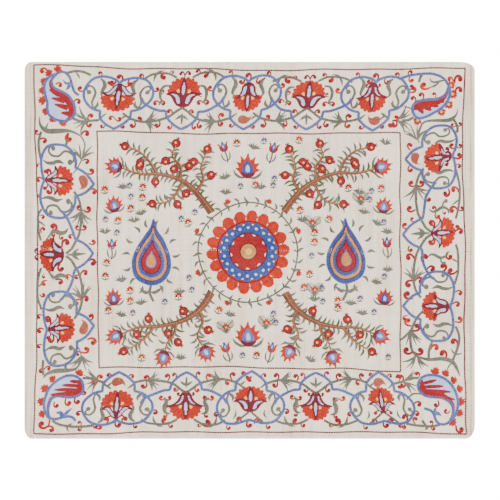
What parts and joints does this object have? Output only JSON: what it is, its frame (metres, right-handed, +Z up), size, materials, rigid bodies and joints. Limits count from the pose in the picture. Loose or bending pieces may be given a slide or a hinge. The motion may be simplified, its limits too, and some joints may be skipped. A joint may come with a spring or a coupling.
{
  "type": "suzani embroidered textile",
  "caption": "Flat rectangular hand-embroidered cloth with hemmed edges and a scrolling flower border, laid face up, for use as a cover or a hanging.",
  "frame": {"origin": "on the surface that the cloth lies on, under the middle of its bounding box", "axes": "+X to the right along the cloth's longer side, +Y to its upper edge, +Z up out of its embroidered face"},
  "size_m": [1.08, 0.904, 0.0034],
  "materials": {
    "ground_cloth": "undyed cream hand-loomed silk, soft sheen",
    "embroidery_silk": "dyed silk thread in chain stitch and couched satin stitch, in red, blue, green and tan"
  },
  "bodies": {
    "root": {"panel_upper": "ground_cloth", "panel_lower": "ground_cloth"}
  },
  "joints": []
}
